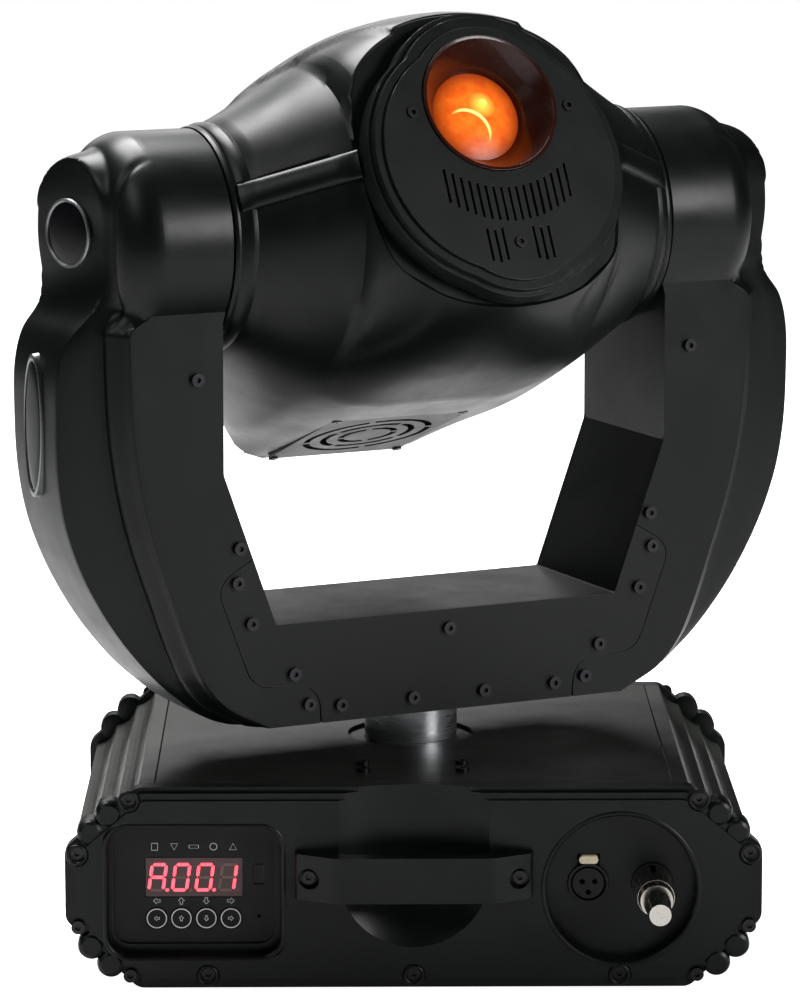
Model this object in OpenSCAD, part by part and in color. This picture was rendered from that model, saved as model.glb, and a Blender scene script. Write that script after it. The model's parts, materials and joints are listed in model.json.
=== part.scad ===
// Moving head spotlight: a base, a panning yoke and a tilting lamp head.
// +Z is up. The origin is the centre of the base plate's underside, on the pan axis.

/* [Base] */
// Width across the base covers
base_w = 362; // [340:1:380]
// Depth of the base from front cover to rear cover
base_d = 269; // [255:1:290]
// Height of the base body without its feet
base_h = 107; // [104:0.5:110]
// Depth of each moulded end cover
cover_d = 15; // [14:0.5:18]
// Height of the rubber feet
foot_h = 6; // [4:0.5:12]

/* [Yoke] */
// Width of the gap between the faces of the two arms
arm_gap = 260.6; // [258:0.2:270]
// Depth of the yoke, front plate to rear plate
yoke_d = 90.8; // [84:0.2:96]
// Height of the tilt axis above the base plate
tilt_z = 384.5; // [380:0.5:395]
// Radius of the round arm ends on the tilt axis
arm_r = 56.7; // [55:0.1:60]
// Underside of the yoke's cross bar
bar_z0 = 128.5; // [124:0.5:134]
// Top of the yoke's cross bar
bar_z1 = 183.4; // [180:0.1:188]

/* [Head] */
// Distance from the tilt axis to the lens plate
lens_y = 114.5; // [112:0.5:118]
// Height of the optical axis above the tilt axis
optic_z = 21.7; // [20:0.1:24]
// Radius of the lens hood's rim
hood_r = 37.5; // [34:0.5:38]
// Radius of the head where it meets the arms
hub_r = 56; // [54:0.5:56]

/* [Pose] */
// Pan angle of the yoke at rest
pan_rest = 25.5; // [-90:0.5:90]
// Elevation of the lens at rest
tilt_rest = 27.5; // [0:0.5:60]

/* [Hidden] */

$fn = 48;
gap = 0.4;
front_y = -base_d / 2;
inner_y = base_d / 2 - cover_d;
flat_w = 287;
side_z0 = 36.5;
side_z1 = 74.8;
seam_x = 134.6;
wall = 2.5;

// Base fittings
panel_y = front_y + 13;
socket_y = front_y + 12;
panel_c = [-114.2, 52.5];
panel_size = [83.5, 60.5];
button_x = [-133.8, -121, -108, -95.2];
button_z = 35.5;
button_r = 5.6;
display_c = [-114.3, 57.3];
display_size = [50.3, 20.6];
socket_c = [107.4, 53.5];
socket_r = 40;
out_x = 90.9;
in_x = 124.2;
xlr_z = 54;
handle_z = 62;
handle_half = 61.5;
scoop_depth = 12;
scoop_half = 39;
scoop_r = (scoop_half * scoop_half + scoop_depth * scoop_depth) / (2 * scoop_depth);
rig_pitch = 106;
rig_r = 4.5;
shaft_r = 25;
shaft_hole_r = 33.9;
pan_motor_at = [88, 38];
pulley_r = 45;
pinion_r = 11.25;
pulley_z0 = 64;
pulley_h = 12;
belt_t = 1.6;

// Yoke fittings
arm_x = arm_gap / 2;
skin = 2.5;
kink_z = 265.2;
bar_x = 100.8;
cyl_x = 128.8;
axle_r = 20;
tilt_pulley_r = 40;
tilt_pinion_r = 10;
tilt_motor_z = 262;
tilt_pulley_x = 152;
badge_x = 199;
badge_z = 390;
arm_slant = 14;

// Head fittings: stations across the head from its middle out to the hub face
hub_x = 126;
ring_r = 72;
head_front = 103;
head_rear = 158;
shell_front = 97;
shell_rear = 150;
rail_z0 = -9;
rail_z1 = 5;
shell_t = 3;
fan_c = [-104, -82];
fan_tilt = atan2(10, 94);
wheel_pcd = 28;

// ---------- outlines ----------

function unit(v) = v / norm(v);

// Arc that rounds the corner p between neighbours a and b
function corner_arc(a, p, b, r, n) =
    let (u = unit(a - p), v = unit(b - p), half = acos(u * v) / 2, turn = 180 - 2 * half,
         c = p + unit(u + v) * r / sin(half), s = p + u * r / tan(half) - c,
         e = p + v * r / tan(half) - c)
    [for (i = [0:n]) c + (s * sin((1 - i / n) * turn) + e * sin(i / n * turn)) / sin(turn)];

// Closed outline with each corner rounded; r is one radius or a list, and 0 leaves it sharp
function rounded(pts, r, n = 5) =
    let (m = len(pts))
    [for (i = [0:m - 1])
        let (ri = is_list(r) ? r[i] : r)
        each (ri == 0 ? [pts[i]] : corner_arc(pts[(i + m - 1) % m], pts[i], pts[(i + 1) % m], ri, n))];

// Extrude an outline drawn in X and Z from y0 to y1
module slab_y(y0, y1) {
    translate([0, y1, 0]) rotate([90, 0, 0]) linear_extrude(y1 - y0) children();
}

module rod_y(r, y0, y1, x = 0, z = 0) {
    translate([x, y0, z]) rotate([-90, 0, 0]) cylinder(r = r, h = y1 - y0);
}

module rod_x(r, x0, x1, y = 0, z = 0) {
    translate([x0, y, z]) rotate([0, 90, 0]) cylinder(r = r, h = x1 - x0);
}

// Octagonal end view of the base, moved in by i on every side
function base_outline(i = 0) =
    let (k = tan(22.5), w = base_w / 2 - i, f = flat_w / 2 - i * k, s0 = side_z0 + i * k, s1 = side_z1 - i * k)
    [[-f, i], [f, i], [w, s0], [w, s1], [f, base_h - i], [-f, base_h - i], [-w, s1], [-w, s0]];

module cap_screw(r = 3.5, h = 3, stem = 8) {
    difference() {
        union() {
            cylinder(r = r, h = h);
            translate([0, 0, -stem]) cylinder(r = r * 0.55, h = stem + 0.1);
        }
        translate([0, 0, h - 1.8]) cylinder(r = r * 0.45, h = 2, $fn = 6);
    }
}

// ---------- base ----------

module base_bottom_plate() color("#202322") {
    difference() {
        translate([-seam_x + gap, -inner_y + gap, 0])
            cube([2 * (seam_x - gap), 2 * (inner_y - gap), 2]);
        for (x = [-1, 1], y = [-1, 1]) {
            translate([x * rig_pitch / 2, y * rig_pitch / 2, -1]) cylinder(r = rig_r, h = 4);
            translate([x * 112, y * 88, -1]) cylinder(r = 2.6, h = 4);
        }
    }
}

module base_top_plate() color("#3a3d38") {
    difference() {
        translate([-seam_x + gap, -inner_y + gap, base_h - 2])
            cube([2 * (seam_x - gap), 2 * (inner_y - gap), 2]);
        translate([0, 0, base_h - 3]) cylinder(r = shaft_hole_r, h = 4);
        for (x = [-26, 26], y = [-94, -77, 77, 94]) translate([x, y, base_h - 3]) cylinder(r = 2.1, h = 4);
    }
}

// Points along one face of a side moulding, raised into n round ribs
function ribs(a, b, n, rise, m = 6) =
    let (d = unit(b - a), normal = [d[1], -d[0]])
    [for (i = [0:n * m]) a + (b - a) * i / (n * m) + normal * rise * abs(sin(180 * i / m))];

module base_side(side) {
    i = 4;
    k = tan(22.5);
    w = base_w / 2 - i;
    top = [flat_w / 2 - 1, base_h];
    high = [w, side_z1 - i * k];
    low = [w, side_z0 + i * k];
    foot = [flat_w / 2 - 1, 0];
    outer = concat([[seam_x, base_h]], ribs(top, high, 3, 2.6), ribs(high, low, 2, 2.2),
                   ribs(low, foot, 3, 2.6), [[seam_x, 0]]);
    inner = [[seam_x, 3], [foot[0] - 3, 3], [w - 4, low[1]], [w - 4, high[1]],
             [top[0] - 3, base_h - 3], [seam_x, base_h - 3]];
    color("#34382f") mirror([side < 0 ? 1 : 0, 0, 0])
        slab_y(-inner_y + gap, inner_y - gap) polygon(concat(outer, inner));
}

module base_side_left() base_side(-1);

module base_side_right() base_side(1);

// Screw places round the rim of an end cover, as x and z
cover_screw_at = [for (s = [-1, 1], p = [[147.5, 101], [174.4, 72.5], [174.4, 33], [147.5, 7], [107, 7.8]])
                      [s * p[0], p[1]]];

module scoop(extra = 0) {
    c = front_y - scoop_r + scoop_depth;
    translate([0, c, handle_z]) {
        sphere(r = scoop_r + extra, $fn = 96);
        cylinder(r = scoop_r + extra, h = base_h, $fn = 96);
    }
}

// End cover: rounded moulding with notched screw places; it is hollow behind, outside its children
module end_cover() {
    difference() {
        union() {
            slab_y(front_y + 6, front_y + cover_d) polygon(rounded(base_outline(), 8));
            slab_y(front_y + 2, front_y + 7) polygon(rounded(base_outline(2.5), 8));
            slab_y(front_y, front_y + 3) polygon(rounded(base_outline(6), 8));
        }
        difference() {
            slab_y(front_y + wall, front_y + cover_d + 1) difference() {
                polygon(base_outline(14));
                children();
            }
            scoop(wall);
        }
        scoop();
        for (p = concat(cover_screw_at, [[0, 7.8]])) {
            rod_y(6.2, front_y - 1, front_y + 6, p[0], p[1]);
            rod_y(2.1, front_y, front_y + cover_d + 1, p[0], p[1]);
        }
        for (x = [-54.5, 54.5]) rod_y(2.1, front_y - 1, front_y + cover_d, x, handle_z);
    }
}

module panel_outline(grow) {
    w = panel_size[0] / 2 + grow;
    h = panel_size[1] / 2 + grow;
    translate(panel_c) polygon(rounded([[-w, -h], [w, -h], [w, h], [-w, h]], 8));
}

module base_front_cover() color("#262b29") {
    difference() {
        end_cover() {
            panel_outline(7);
            translate(socket_c) circle(r = socket_r + wall);
        }
        slab_y(front_y - 1, panel_y - wall) panel_outline(5);
        slab_y(front_y - 1, front_y + cover_d + 1) panel_outline(0);
        slab_y(panel_y, front_y + cover_d + 1) panel_outline(3 + gap);
        rod_y(socket_r, front_y - 1, socket_y, socket_c[0], socket_c[1]);
        for (x = [out_x, in_x]) rod_y(11, front_y, front_y + cover_d + 1, x, xlr_z);
        translate([out_x - 6, front_y, xlr_z + 9]) cube([12, cover_d + 1, 6.5]);
    }
}

module base_rear_cover() color("#262b29") mirror([0, 1, 0]) {
    difference() {
        end_cover();
        translate([-114 - 14, front_y - 1, 42]) cube([28, cover_d + 2, 21]);
        // Cooling slots
        for (i = [0:8]) translate([80 + i * 7, front_y - 1, 36]) cube([3, cover_d + 2, 36]);
    }
}

// Carrying handle: a bowed bar across the hand scoop
module handle() {
    reach = 17;
    flat_x = 33;
    bar = [[-handle_half, 0], [-handle_half, -6], [-flat_x - 8, -reach], [flat_x + 8, -reach],
           [handle_half, -6], [handle_half, 0], [handle_half - 12, 0], [flat_x + 2, -reach + 9],
           [-flat_x - 2, -reach + 9], [-handle_half + 12, 0]];
    color("#262b29") translate([0, front_y, handle_z - 11.5]) difference() {
        linear_extrude(24) polygon(rounded(bar, [1, 4, 14, 14, 4, 1, 1, 8, 8, 1]));
        for (x = [-54.5, 54.5]) {
            translate([x, 1, 11.5]) rotate([90, 0, 0]) cylinder(r = 2.1, h = 30);
            translate([x, -4, 11.5]) rotate([90, 0, 0]) cylinder(r = 5.5, h = 30);
        }
    }
}

module front_handle() handle();

module rear_handle() mirror([0, 1, 0]) handle();

module base_screws() color("#151616") {
    for (m = [0, 1]) mirror([0, m, 0]) {
        for (p = concat(cover_screw_at, [[0, 7.8]]))
            translate([p[0], front_y + 6, p[1]]) rotate([90, 0, 0]) cap_screw();
        for (x = [-54.5, 54.5]) translate([x, front_y - 4, handle_z]) rotate([90, 0, 0]) cap_screw();
        for (x = [-26, 26], y = [-94, -77]) translate([x, y, base_h]) cap_screw(h = 2.2);
    }
}

module rubber_feet() color("#101010") {
    for (x = [-112, 112], y = [-88, 88]) translate([x, y, -foot_h]) {
        cylinder(r = 15, h = foot_h);
        translate([0, 0, foot_h - 0.1]) cylinder(r = 2.5, h = 4);
    }
}

module control_panel() color("#17191a") {
    difference() {
        slab_y(panel_y, panel_y + 1.6) panel_outline(3);
        translate([display_c[0] - display_size[0] / 2 - 0.3, panel_y - 1, display_c[1] - display_size[1] / 2 - 0.3])
            cube([display_size[0] + 0.6, 6, display_size[1] + 0.6]);
        for (x = button_x) rod_y(button_r + 0.3, panel_y - 1, panel_y + 4, x, button_z);
        translate([-83.4, panel_y - 1, 53.5]) cube([5.5, 6, 11]);
        rod_y(0.8, panel_y - 1, panel_y + 4, -80.6, button_z + 1);
    }
}

module display_module() color("#2a0808") {
    translate([display_c[0] - display_size[0] / 2, panel_y + 0.3, display_c[1] - display_size[1] / 2])
        cube([display_size[0], 8, display_size[1]]);
    translate([-154, panel_y + 9, 25]) cube([78, 1.6, 54]);
    // Service port on the same board
    translate([-83.1, panel_y + 2, 53.9]) cube([4.9, 7.5, 10.2]);
}

module panel_button(i) color("#1b1d1e") {
    rod_y(button_r, panel_y - 0.8, panel_y + 3, button_x[i], button_z);
    rod_y(2.2, panel_y + 2.9, panel_y + 8, button_x[i], button_z);
}

module button_mode() panel_button(0);

module button_up() panel_button(1);

module button_down() panel_button(2);

module button_enter() panel_button(3);

// Metal sleeve of a panel socket, with its flange behind the cover; closed by a floor at depth
module xlr_sleeve(x, bore, depth) difference() {
    union() {
        rod_y(10.6, socket_y - 1.6, socket_y + 22, x, xlr_z);
        rod_y(13, front_y + cover_d + 0.1, front_y + cover_d + 2.6, x, xlr_z);
    }
    rod_y(bore, socket_y - 3, socket_y + depth, x, xlr_z);
}

// Three contacts in a triangle, as rods of radius r
module xlr_contacts(x, r, y0, y1)
    for (a = [-150, -30, 90]) rod_y(r, y0, y1, x + 3.75 * cos(a), xlr_z - 1 - 3.75 * sin(a));

// Female socket: the insert stands in its sleeve with a slot round it for the plug's shell
module dmx_out_socket() color("#1a1a1a") {
    xlr_sleeve(out_x, 9.2, 30);
    difference() {
        union() {
            rod_y(8.1, socket_y - 1, socket_y + 13, out_x, xlr_z);
            rod_y(9.15, socket_y + 12, socket_y + 21, out_x, xlr_z);
        }
        xlr_contacts(out_x, 1.4, socket_y - 4, socket_y + 10);
    }
}

// Male socket: three pins stand on its floor
module dmx_in_socket() color("#1a1a1a") {
    xlr_sleeve(in_x, 9.7, 13);
    xlr_contacts(in_x, 1.2, socket_y + 1.5, socket_y + 14);
}

module latch_tab() color("#cfc5ae") {
    w = 4.9;
    slab_y(socket_y - 3, socket_y + 1) translate([out_x, xlr_z + 12.3])
        polygon(rounded([[-w, -1.4], [w, -1.4], [w, 2.6], [-w, 2.6]], 1.8));
}

// Line plug standing in the input socket, with its rubber boot
module dmx_plug() color("#b9bcbd") {
    difference() {
        translate([in_x, socket_y, xlr_z]) rotate([90, 0, 0]) {
            translate([0, 0, -10]) cylinder(r = 9.4, h = 12);
            translate([0, 0, 1.9]) cylinder(r = 9.6, h = 30);
            translate([0, 0, 31]) cylinder(r1 = 9.6, r2 = 8.4, h = 7);
            translate([0, 0, 37]) cylinder(r1 = 7.4, r2 = 5.6, h = 29);
        }
        xlr_contacts(in_x, 1.5, socket_y - 6, socket_y + 12);
        // Key slot for the latch
        translate([in_x - 1.6, socket_y - 20, xlr_z + 7.6]) cube([3.2, 34, 4]);
    }
}

module power_inlet() color("#161616") {
    y = base_d / 2;
    difference() {
        union() {
            translate([-127.7, y - 18, 42.3]) cube([27.4, 18.5, 20.4]);
            translate([-132, y, 38]) cube([36, 2, 29]);
        }
        translate([-125, y - 14, 45]) cube([22, 18, 15]);
        for (x = [-121, -114, -107]) translate([x - 1, y - 16, 50]) cube([2, 4, 4]);
    }
    for (x = [-121, -114, -107]) translate([x - 1, y - 16.5, 50]) cube([2, 11, 4]);
}

module ballast() color("#5a5d60") {
    translate([-128, -40, 2]) cube([76, 120, 8]);
    for (i = [0:6]) translate([-124 + i * 10, -36, 9.9]) cube([8, 112, 38]);
    translate([-126, -38, 47]) cube([72, 116, 8]);
}

module pan_bearing() color("#84888a") difference() {
    union() {
        translate([0, 0, pulley_z0 + pulley_h + 3]) cylinder(r = shaft_hole_r - 0.5, h = base_h - 5 - pulley_z0 - pulley_h);
        translate([0, 0, base_h - 6]) cylinder(r = 50, h = 4);
    }
    translate([0, 0, 0]) cylinder(r = shaft_r + 0.05, h = base_h + 1);
}

module stepper(size, length, shaft, shaft_len) {
    translate([-size / 2, -size / 2, 0]) linear_extrude(length)
        polygon(rounded([[0, 0], [size, 0], [size, size], [0, size]], 4));
    cylinder(r = size * 0.33, h = length + 1.6);
    cylinder(r = shaft, h = length + shaft_len);
}

module pan_motor() color("#3f4245")
    translate([pan_motor_at[0], pan_motor_at[1], 2]) stepper(56.4, 54, 4, 22);

// Toothed pulley with n teeth, round teeth set into its rim
module pulley(r, h, bore, n) difference() {
    union() {
        cylinder(r = r - 0.8, h = h);
        for (z = [0, h - 1]) translate([0, 0, z]) cylinder(r = r + 0.9, h = 1);
    }
    translate([0, 0, -1]) cylinder(r = bore, h = h + 2);
    for (i = [0:n - 1]) rotate([0, 0, i * 360 / n]) translate([r - 0.6, 0, 1.2]) cylinder(r = 0.7, h = h - 2.4);
}

// Belt loop round a wheel at the middle and a smaller one at distance d along +X
module belt(r1, r2, d, z, h) {
    a = acos((r1 - r2) / d);
    function loop(g) = concat([for (t = [a:6:360 - a]) (r1 + g) * [cos(t), sin(t)]],
                              [for (t = [-a:6:a]) [d + (r2 + g) * cos(t), (r2 + g) * sin(t)]]);
    translate([0, 0, z]) linear_extrude(h) difference() {
        polygon(loop(0.3 + belt_t));
        polygon(loop(0.3));
    }
}

pan_reach = norm(pan_motor_at);
pan_dir = atan2(pan_motor_at[1], pan_motor_at[0]);

module pan_pinion() color("#9b9ea0")
    translate([pan_motor_at[0], pan_motor_at[1], pulley_z0]) pulley(pinion_r, pulley_h, 4.05, 16);

module pan_belt() color("#0d0d0d")
    rotate([0, 0, pan_dir]) belt(pulley_r, pinion_r, pan_reach, pulley_z0 + 1.5, pulley_h - 3);

// ---------- yoke ----------

// Line of an arm's inner face from the bar to the tilt axis, moved outward by g
function arm_inner(g) = [[bar_x + g, bar_z1], [arm_x + g, kink_z], [arm_x + g, tilt_z - 38]];

// Bar plate with an ear running up each arm, grown by g past its own edge
function plate_half(g) = [
    [0, bar_z0], [74.5 + g, bar_z0], [76 + g, 149 + g], [114 + g, 151 - g], [135 + g, 207],
    [113.8 + g, 219.5 + g], [bar_x, bar_z1], [0, bar_z1]
];

function plate_outline(g) =
    let (h = rounded(plate_half(g), [0, 0.6, 13, 14, 12, 1, 1.5, 0], 5))
    concat(h, [for (i = [len(h) - 2:-1:1]) [-h[i][0], h[i][1]]]);

module yoke_plate() slab_y(-yoke_d / 2, -yoke_d / 2 + 2) polygon(plate_outline(0));

module yoke_front_plate() color("#2b302f") rotate([0, 0, pan_rest]) difference() {
    yoke_plate();
    bolt_holes(-1);
}

module yoke_rear_plate() color("#2b302f") rotate([0, 0, pan_rest]) difference() {
    mirror([0, 1, 0]) yoke_plate();
    bolt_holes(1);
}

// Bolts of one arm and half of the bar, as x and z
half_bolts = [[21.2, 137.4], [63.6, 137.4], [90.8, 156.5], [115.2, 185.6], [123.1, 207.8]];
cover_bolts = [[82.2, 139.5], [121.8, 226], [145.3, 316.2]];

module bolt_holes(side) {
    for (p = half_bolts, m = [-1, 1]) rod_y(2.2, side * yoke_d / 2 - 3, side * yoke_d / 2 + 3, m * p[0], p[1]);
    rod_y(2.2, side * yoke_d / 2 - 3, side * yoke_d / 2 + 3, 0, 173.2);
}

module yoke_bolts() color("#121313") rotate([0, 0, pan_rest])
    for (side = [0, 1]) mirror([0, side, 0]) {
        for (p = concat(half_bolts, cover_bolts), m = [-1, 1])
            translate([m * p[0], -yoke_d / 2, p[1]]) rotate([90, 0, 0]) cap_screw(h = 2.6, stem = 2);
        translate([0, -yoke_d / 2, 173.2]) rotate([90, 0, 0]) cap_screw(h = 2.6, stem = 2);
    }

// Welded steel frame: bent inner skin, bar floor, webs and a bearing disc on each arm
module yoke_frame() color("#2b302f") rotate([0, 0, pan_rest]) {
    d = yoke_d / 2 - 2.2;
    inner = arm_inner(0);
    outer = [[bar_x + 1.8, bar_z1 - skin], [arm_x + skin, kink_z - 0.4], [arm_x + skin, tilt_z - 38]];
    half = concat([for (i = [2:-1:0]) outer[i]]);
    difference() {
        union() {
            slab_y(-d, d) {
                polygon(concat([for (p = inner) p], half,
                    [for (i = [0:2]) [-outer[i][0], outer[i][1]]], [for (i = [2:-1:0]) [-inner[i][0], inner[i][1]]]));
                translate([-96, bar_z0]) square([192, skin]);
                for (x = [-96, 93.5]) translate([x, bar_z0]) square([skin, bar_z1 - bar_z0 - 1]);
            }
            for (m = [-1, 1]) mirror([m < 0 ? 1 : 0, 0, 0]) {
                rod_x(arm_r - 3.4, arm_x, arm_x + skin, 0, tilt_z);
                // Rounded web that stiffens the arm behind its inner skin
                slab_y(-1.5, 1.5) polygon([[arm_x + 1, kink_z], [arm_x + 12, kink_z + 4],
                                           [arm_x + 12, tilt_z - 60], [arm_x + 1, tilt_z - 50]]);
            }
        }
        translate([0, 0, bar_z0 - 1]) cylinder(r = shaft_r + 0.1, h = 5);
        for (x = [-arm_x - 5, arm_x - 3]) rod_x(axle_r + 1.5, x, x + 8, 0, tilt_z);
    }
}

// Side view of an arm's outer edge: x as a function of height, moved in by g
arm_edge = [[127, 129.5], [150, 146], [173, 170], [193, 203], [207.5, 235], [215, 262], [217.5, 296],
            [215.5, 326], [209, 342], [204.5, 354]];

function arm_layer(g, step) = concat(
    [[79, bar_z0 + g], [120 - step * 0.4, bar_z0 + 3 + g]],
    [for (p = arm_edge) [p[0] - step - g, p[1] + (p[1] < 180 ? step * 0.35 + g * 0.8 : 0)]],
    [[204.5 - step - g, tilt_z], [arm_x + 1 + g, tilt_z], [arm_x, kink_z], [bar_x, bar_z1], [79, 172]]);

// Round arm end: a drum on the tilt axis with a soft outer edge
module arm_drum(g) {
    edge = 166;
    face = 204.5;
    profile = concat([[0, cyl_x - (g > 0 ? 1 : 0)], [arm_r - g, cyl_x - (g > 0 ? 1 : 0)]],
        [for (t = [0:10:80]) [20 + (arm_r - g - 20) * cos(t), edge + (face - g - edge) * sin(t)]],
        [[20, face - g], [0, face - g]]);
    translate([0, 0, tilt_z]) rotate([0, 90, 0]) rotate_extrude($fn = 96) polygon(profile);
}

// Both arms carry the same moulding, turned half round, so its slanted end face leans
// towards the front on one arm and towards the rear on the other
module arm_body(g) {
    d = yoke_d / 2;
    difference() {
        union() {
            slab_y(-d + g, d - g) polygon(arm_layer(g, 34));
            slab_y(-d + 9 + g, d - 9 - g) polygon(arm_layer(g, 15));
            slab_y(-d + 20 + g, d - 20 - g) polygon(arm_layer(g, 0));
            arm_drum(g);
        }
        translate([badge_x - g, 0, 356]) rotate([0, 0, arm_slant]) translate([0, -100, 0]) cube([40, 200, 100]);
    }
}

module arm_cover() {
    d = yoke_d / 2;
    difference() {
        arm_body(0);
        arm_body(shell_t);
        // The frame's skin closes this side
        slab_y(-d + 2, d - 2) polygon([[60, bar_z0 - 5], [bar_x + 5, bar_z0 - 5], [bar_x + 5, bar_z1 - 3],
            [arm_x + skin + 0.3, kink_z - 3], [arm_x + skin + 0.3, tilt_z - 36], [60, tilt_z - 36]]);
        rod_x(arm_r - 3, cyl_x - 1, arm_x + skin + 2, 0, tilt_z);
        // Seat of the bar plates and their ears
        for (s = [-1, 1]) slab_y(s * (d - 1) - 1.2, s * (d - 1) + 1.2) polygon(plate_outline(gap));
        for (p = cover_bolts) rod_y(2.2, -d - 1, d + 1, p[0], p[1]);
        // Room for the cross bar
        translate([60, -d + 2, bar_z0 - 2]) cube([38, 2 * d - 4, 60]);
    }
}

module arm_cover_right() color("#2b302f") rotate([0, 0, pan_rest]) arm_cover();

module arm_cover_left() color("#2b302f") rotate([0, 0, pan_rest + 180]) arm_cover();

// Plain round and oval badges on the outer face of each arm
module arm_badges() color("#0c0d0e") for (turn = [0, 180]) rotate([0, 0, pan_rest + turn]) {
    translate([badge_x, 0, badge_z]) rotate([0, 0, arm_slant]) rod_x(18, 0.1, 1.5);
    translate([217.6, 0, 291]) rotate([0, 90, 0]) scale([3.1, 1, 1]) cylinder(r = 12, h = 1.2);
}

module pan_shaft() color("#c9cccd") rotate([0, 0, pan_rest]) difference() {
    union() {
        translate([0, 0, pulley_z0 - 4]) cylinder(r = shaft_r, h = bar_z0 + skin + 5 - pulley_z0 + 4);
        translate([0, 0, bar_z0 + skin]) cylinder(r = 38, h = 5);
        translate([0, 0, bar_z0 - 4]) cylinder(r = shaft_r + 3, h = 4);
    }
    translate([0, 0, 0]) cylinder(r = shaft_r - 4, h = 200);
}

module pan_pulley() color("#8f9294") rotate([0, 0, pan_rest])
    translate([0, 0, pulley_z0]) pulley(pulley_r, pulley_h, shaft_r, 64);

module tilt_bearings() color("#84888a") rotate([0, 0, pan_rest]) for (m = [0, 1]) mirror([m, 0, 0])
    difference() {
        rod_x(31, arm_x + skin, arm_x + skin + 15, 0, tilt_z);
        rod_x(axle_r + 0.05, arm_x, arm_x + 30, 0, tilt_z);
    }

module tilt_motor() color("#3f4245") rotate([0, 0, pan_rest]) {
    translate([-198, 0, tilt_motor_z]) rotate([0, 90, 0]) stepper(42, 32, 3, 16);
    for (y = [-15.5, 15.5]) rod_x(3, -167, -arm_x - skin - 0.1, y, tilt_motor_z - 15.5);
}

module tilt_pinion() color("#9b9ea0") rotate([0, 0, pan_rest])
    translate([-tilt_pulley_x - 12, 0, tilt_motor_z]) rotate([0, 90, 0]) pulley(tilt_pinion_r, 12, 3.05, 14);

module tilt_belt() color("#0d0d0d") rotate([0, 0, pan_rest])
    translate([-tilt_pulley_x - 12, 0, tilt_z]) rotate([0, 90, 0])
        belt(tilt_pulley_r, tilt_pinion_r, tilt_z - tilt_motor_z, 1.5, 9);

// ---------- head ----------

// Places children drawn with the lens along -Y and the tilt axis along X
module head_place() {
    rotate([0, 0, pan_rest]) translate([0, 0, tilt_z]) rotate([-tilt_rest, 0, 0]) children();
}

// How far the head reaches at station a across it: front, rear, top and bottom
function reach_front(a) = lookup(a, [[0, head_front], [64, head_front], [72, 98], [hub_x, hub_r]]);
function reach_rear(a) = lookup(a, [[0, head_rear], [50, head_rear], [60, 147], [hub_x, hub_r]]);
function reach_top(a) = lookup(a, [[0, 95], [30, 94], [50, 91], [75, 81], [90, 72], [110, 61.5], [hub_x, hub_r]]);
function reach_low(a) = lookup(a, [[0, 94], [45, 93], [75, 84], [90, 77], [110, 65], [hub_x, hub_r]]);
function crown(a) = lookup(a, [[0, 10], [hub_x, 0]]);
function keel(a) = lookup(a, [[0, -18], [45, -18], [75, -10], [hub_x, 0]]);
function rear_up(a) = lookup(a, [[0, 62], [40, 58], [75, 35], [hub_x, 0]]);
function rear_down(a) = lookup(a, [[0, 75], [45, 75], [75, 52], [hub_x, 0]]);
function flatness(a) = lookup(a, [[0, 1], [45, 1], [75, 0]]);
function disc_half(a) = sqrt(max(0, ring_r * ring_r - a * a));

// Closed side section of the head at station x, t inside the outer skin, as y and z
function head_section(x, t) =
    let (a = abs(x), n = 7, f = reach_front(a) - t, r = reach_rear(a) - t, top = reach_top(a) - t,
         low = reach_low(a) - t, disc = disc_half(a) * (1 - t / ring_r), fade = min(1, disc / 20),
         up = max(1.5, disc - 5 * fade), down = max(1.5, disc + 5 * fade), ru = max(1.5, rear_up(a)),
         rd = max(1.5, rear_down(a) - t * flatness(a)),
         w = flatness(a))
    concat(
        [for (i = [0:n]) let (q = 90 * i / n)
            [-(crown(a) + (f - crown(a)) * cos(q)), up + (top - up) * sin(q)]],
        [for (i = [1:n]) let (q = 90 * i / n)
            [-(crown(a) - (crown(a) + r) * sin(q)), ru + (top - ru) * cos(q)]],
        [for (i = [0:n]) let (q = 90 * i / n, k = i / n)
            [r + (-keel(a) - r) * ((1 - w) * (1 - cos(q)) + w * k), -rd - (low - rd) * ((1 - w) * sin(q) + w * k)]],
        [for (i = [1:n]) let (q = 90 * i / n)
            [-(keel(a) + (f - keel(a)) * sin(q)), -down - (low - down) * cos(q)]]);

head_stations = [for (x = [-126, -121, -114, -106, -98, -90, -82, -75, -68, -60, -50, -40, -27, -13,
                           0, 13, 27, 40, 50, 60, 68, 75, 82, 90, 98, 106, 114, 121, 126]) x];

// Closed loft through the sections; an inner loft runs on past the hub faces by over
module head_loft(t, over = 0) {
    ends = over > 0 ? [[-hub_x - over], [hub_x + over]] : [[], []];
    rings = [for (x = concat(ends[0], head_stations, ends[1])) [for (p = head_section(x, t)) [x, p[0], p[1]]]];
    m = len(rings[0]);
    k = len(rings);
    polyhedron(points = [for (r = rings) each r],
        faces = concat([[for (j = [m - 1:-1:0]) j]], [[for (j = [0:m - 1]) (k - 1) * m + j]],
            [for (i = [0:k - 2], j = [0:m - 1])
                let (a = i * m + j, b = i * m + (j + 1) % m) each [[a, b + m, a + m], [a, b, b + m]]]));
}

module head_shell(z0, z1) difference() {
    head_loft(0);
    head_loft(shell_t, 3);
    translate([-200, -200, z1]) cube([400, 400, 200]);
    translate([-200, -200, z0 - 200]) cube([400, 400, 200]);
    translate([-200, -200 - shell_front, -200]) cube([400, 200, 400]);
    translate([-200, shell_rear, -200]) cube([400, 200, 400]);
}

module head_upper_shell() color("#2a2f2e") head_place() head_shell(rail_z1, 150);

// The lower shell is open over the fan plate
module head_lower_shell() color("#2a2f2e") head_place() difference() {
    head_shell(-150, rail_z0);
    fan_place() {
        translate([-38.5, -38.5, -6]) cube([77, 77, 14]);
        translate([-40.9, -46.9, -9]) cube([81.8, 93.8, 10.2]);
    }
}

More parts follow.
